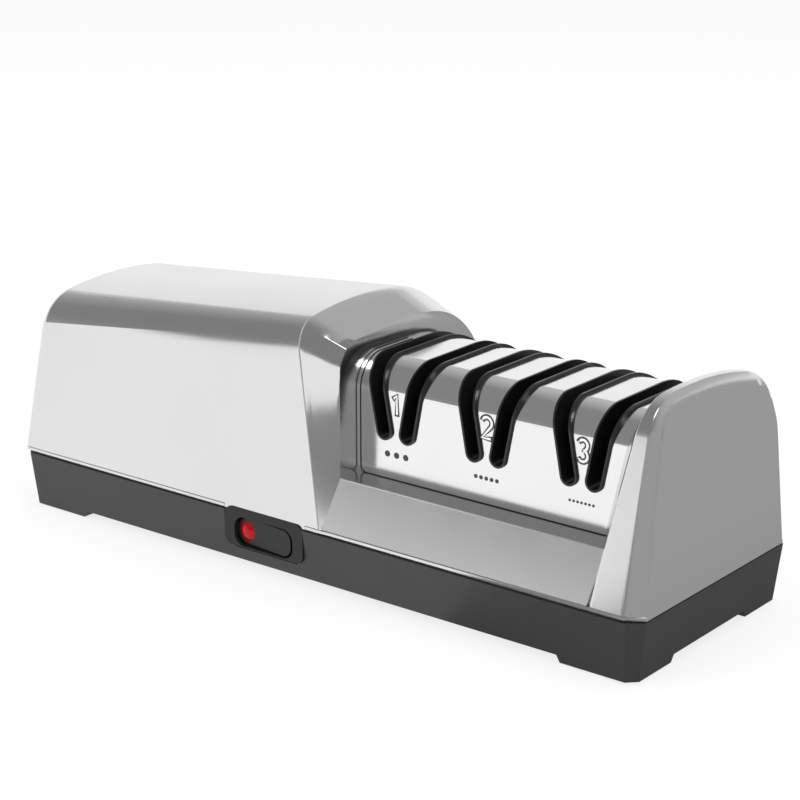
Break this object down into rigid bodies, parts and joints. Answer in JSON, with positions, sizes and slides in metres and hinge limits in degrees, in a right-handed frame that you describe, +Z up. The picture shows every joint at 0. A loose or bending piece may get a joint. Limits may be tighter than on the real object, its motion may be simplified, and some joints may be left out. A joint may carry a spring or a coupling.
{
  "type": "electric knife sharpener",
  "caption": "Three-stage electric knife sharpener: silver hood over a motor, slotted panel with pairs of leaning blade guides over sprung abrasive discs, dark base with a lit rocker switch.",
  "frame": {"origin": "centre of the footprint, on the surface the rubber feet stand on", "axes": "+X along the body from the motor end to the end cap, user's side at -Y, +Z up"},
  "size_m": [0.29, 0.101, 0.1014],
  "materials": {
    "silver_shell": "satin silver",
    "slot_panel": "bright satin silver",
    "dark_base": "charcoal moulded",
    "black_guide": "satin black",
    "switch": "dark grey",
    "lamp": "clear red",
    "rubber": "matt",
    "steel": "ground",
    "laminations": "plain",
    "copper": "enamelled wire",
    "bronze": "sintered",
    "bracket": "die cast",
    "abrasive": "diamond coated",
    "abrasive_fine": "fine bonded",
    "nylon": "natural nylon",
    "spring": "spring steel"
  },
  "bodies": {
    "housing": {"base_tub": "dark_base", "rubber_feet": "rubber", "clean_out_cover": "dark_base", "top_shell": "silver_shell", "slot_panel": "slot_panel", "guide_1_left": "black_guide", "guide_1_right": "black_guide", "guide_2_left": "black_guide", "guide_2_right": "black_guide", "guide_3_left": "black_guide", "guide_3_right": "black_guide", "switch_bezel": "switch", "switch_body": "switch", "inlet_bush": "switch", "stator_stack": "laminations", "field_coils": "copper", "motor_bracket_rear": "bracket", "motor_bracket_front": "bracket", "motor_bush_rear": "bronze", "motor_bush_front": "bronze", "end_bush": "bronze", "end_bearing_block": "dark_base", "bearing_screws": "steel", "motor_screws": "steel", "motor_dampers": "rubber", "mount_screws": "steel", "terminal_block": "nylon", "shell_screws": "steel", "cover_screws": "steel"},
    "rotor": {"drive_shaft": "steel", "rotor_core": "laminations", "cooling_fan": "dark_base", "drive_pins": "steel", "shaft_clips": "steel", "disc_spring_1": "spring", "disc_spring_2": "spring", "disc_spring_3": "spring"},
    "rocker": {"rocker_button": "switch", "lamp_lens": "lamp"},
    "disc_1_left": {"disc_1_left": "abrasive"},
    "disc_1_right": {"disc_1_right": "abrasive"},
    "disc_2_left": {"disc_2_left": "abrasive"},
    "disc_2_right": {"disc_2_right": "abrasive"},
    "disc_3_left": {"disc_3_left": "abrasive_fine"},
    "disc_3_right": {"disc_3_right": "abrasive_fine"}
  },
  "joints": [
    {"name": "shaft_spin", "type": "hinge", "parent": "housing", "child": "rotor", "pos_m": [0, 0, 0.05], "axis": [1, 0, 0], "continuous": true},
    {"name": "disc_1_left_give", "type": "slide", "parent": "rotor", "child": "disc_1_left", "axis": [1, 0, 0], "range_m": [0, 0.0012], "stiffness_N_per_m": 700, "springref_m": -0.0015, "deforming": ["disc_spring_1"]},
    {"name": "disc_1_right_give", "type": "slide", "parent": "rotor", "child": "disc_1_right", "axis": [-1, 0, 0], "range_m": [0, 0.0012], "stiffness_N_per_m": 700, "springref_m": -0.0015},
    {"name": "disc_2_left_give", "type": "slide", "parent": "rotor", "child": "disc_2_left", "axis": [1, 0, 0], "range_m": [0, 0.0012], "stiffness_N_per_m": 700, "springref_m": -0.0015, "deforming": ["disc_spring_2"]},
    {"name": "disc_2_right_give", "type": "slide", "parent": "rotor", "child": "disc_2_right", "axis": [-1, 0, 0], "range_m": [0, 0.0012], "stiffness_N_per_m": 700, "springref_m": -0.0015},
    {"name": "disc_3_left_give", "type": "slide", "parent": "rotor", "child": "disc_3_left", "axis": [1, 0, 0], "range_m": [0, 0.0012], "stiffness_N_per_m": 700, "springref_m": -0.0015, "deforming": ["disc_spring_3"]},
    {"name": "disc_3_right_give", "type": "slide", "parent": "rotor", "child": "disc_3_right", "axis": [-1, 0, 0], "range_m": [0, 0.0012], "stiffness_N_per_m": 700, "springref_m": -0.0015},
    {"name": "rocker_tilt", "type": "hinge", "parent": "housing", "child": "rocker", "pos_m": [-0.017, -0.0451, 0.0154], "axis": [0, 0, 1], "range_deg": [0, 9]}
  ]
}
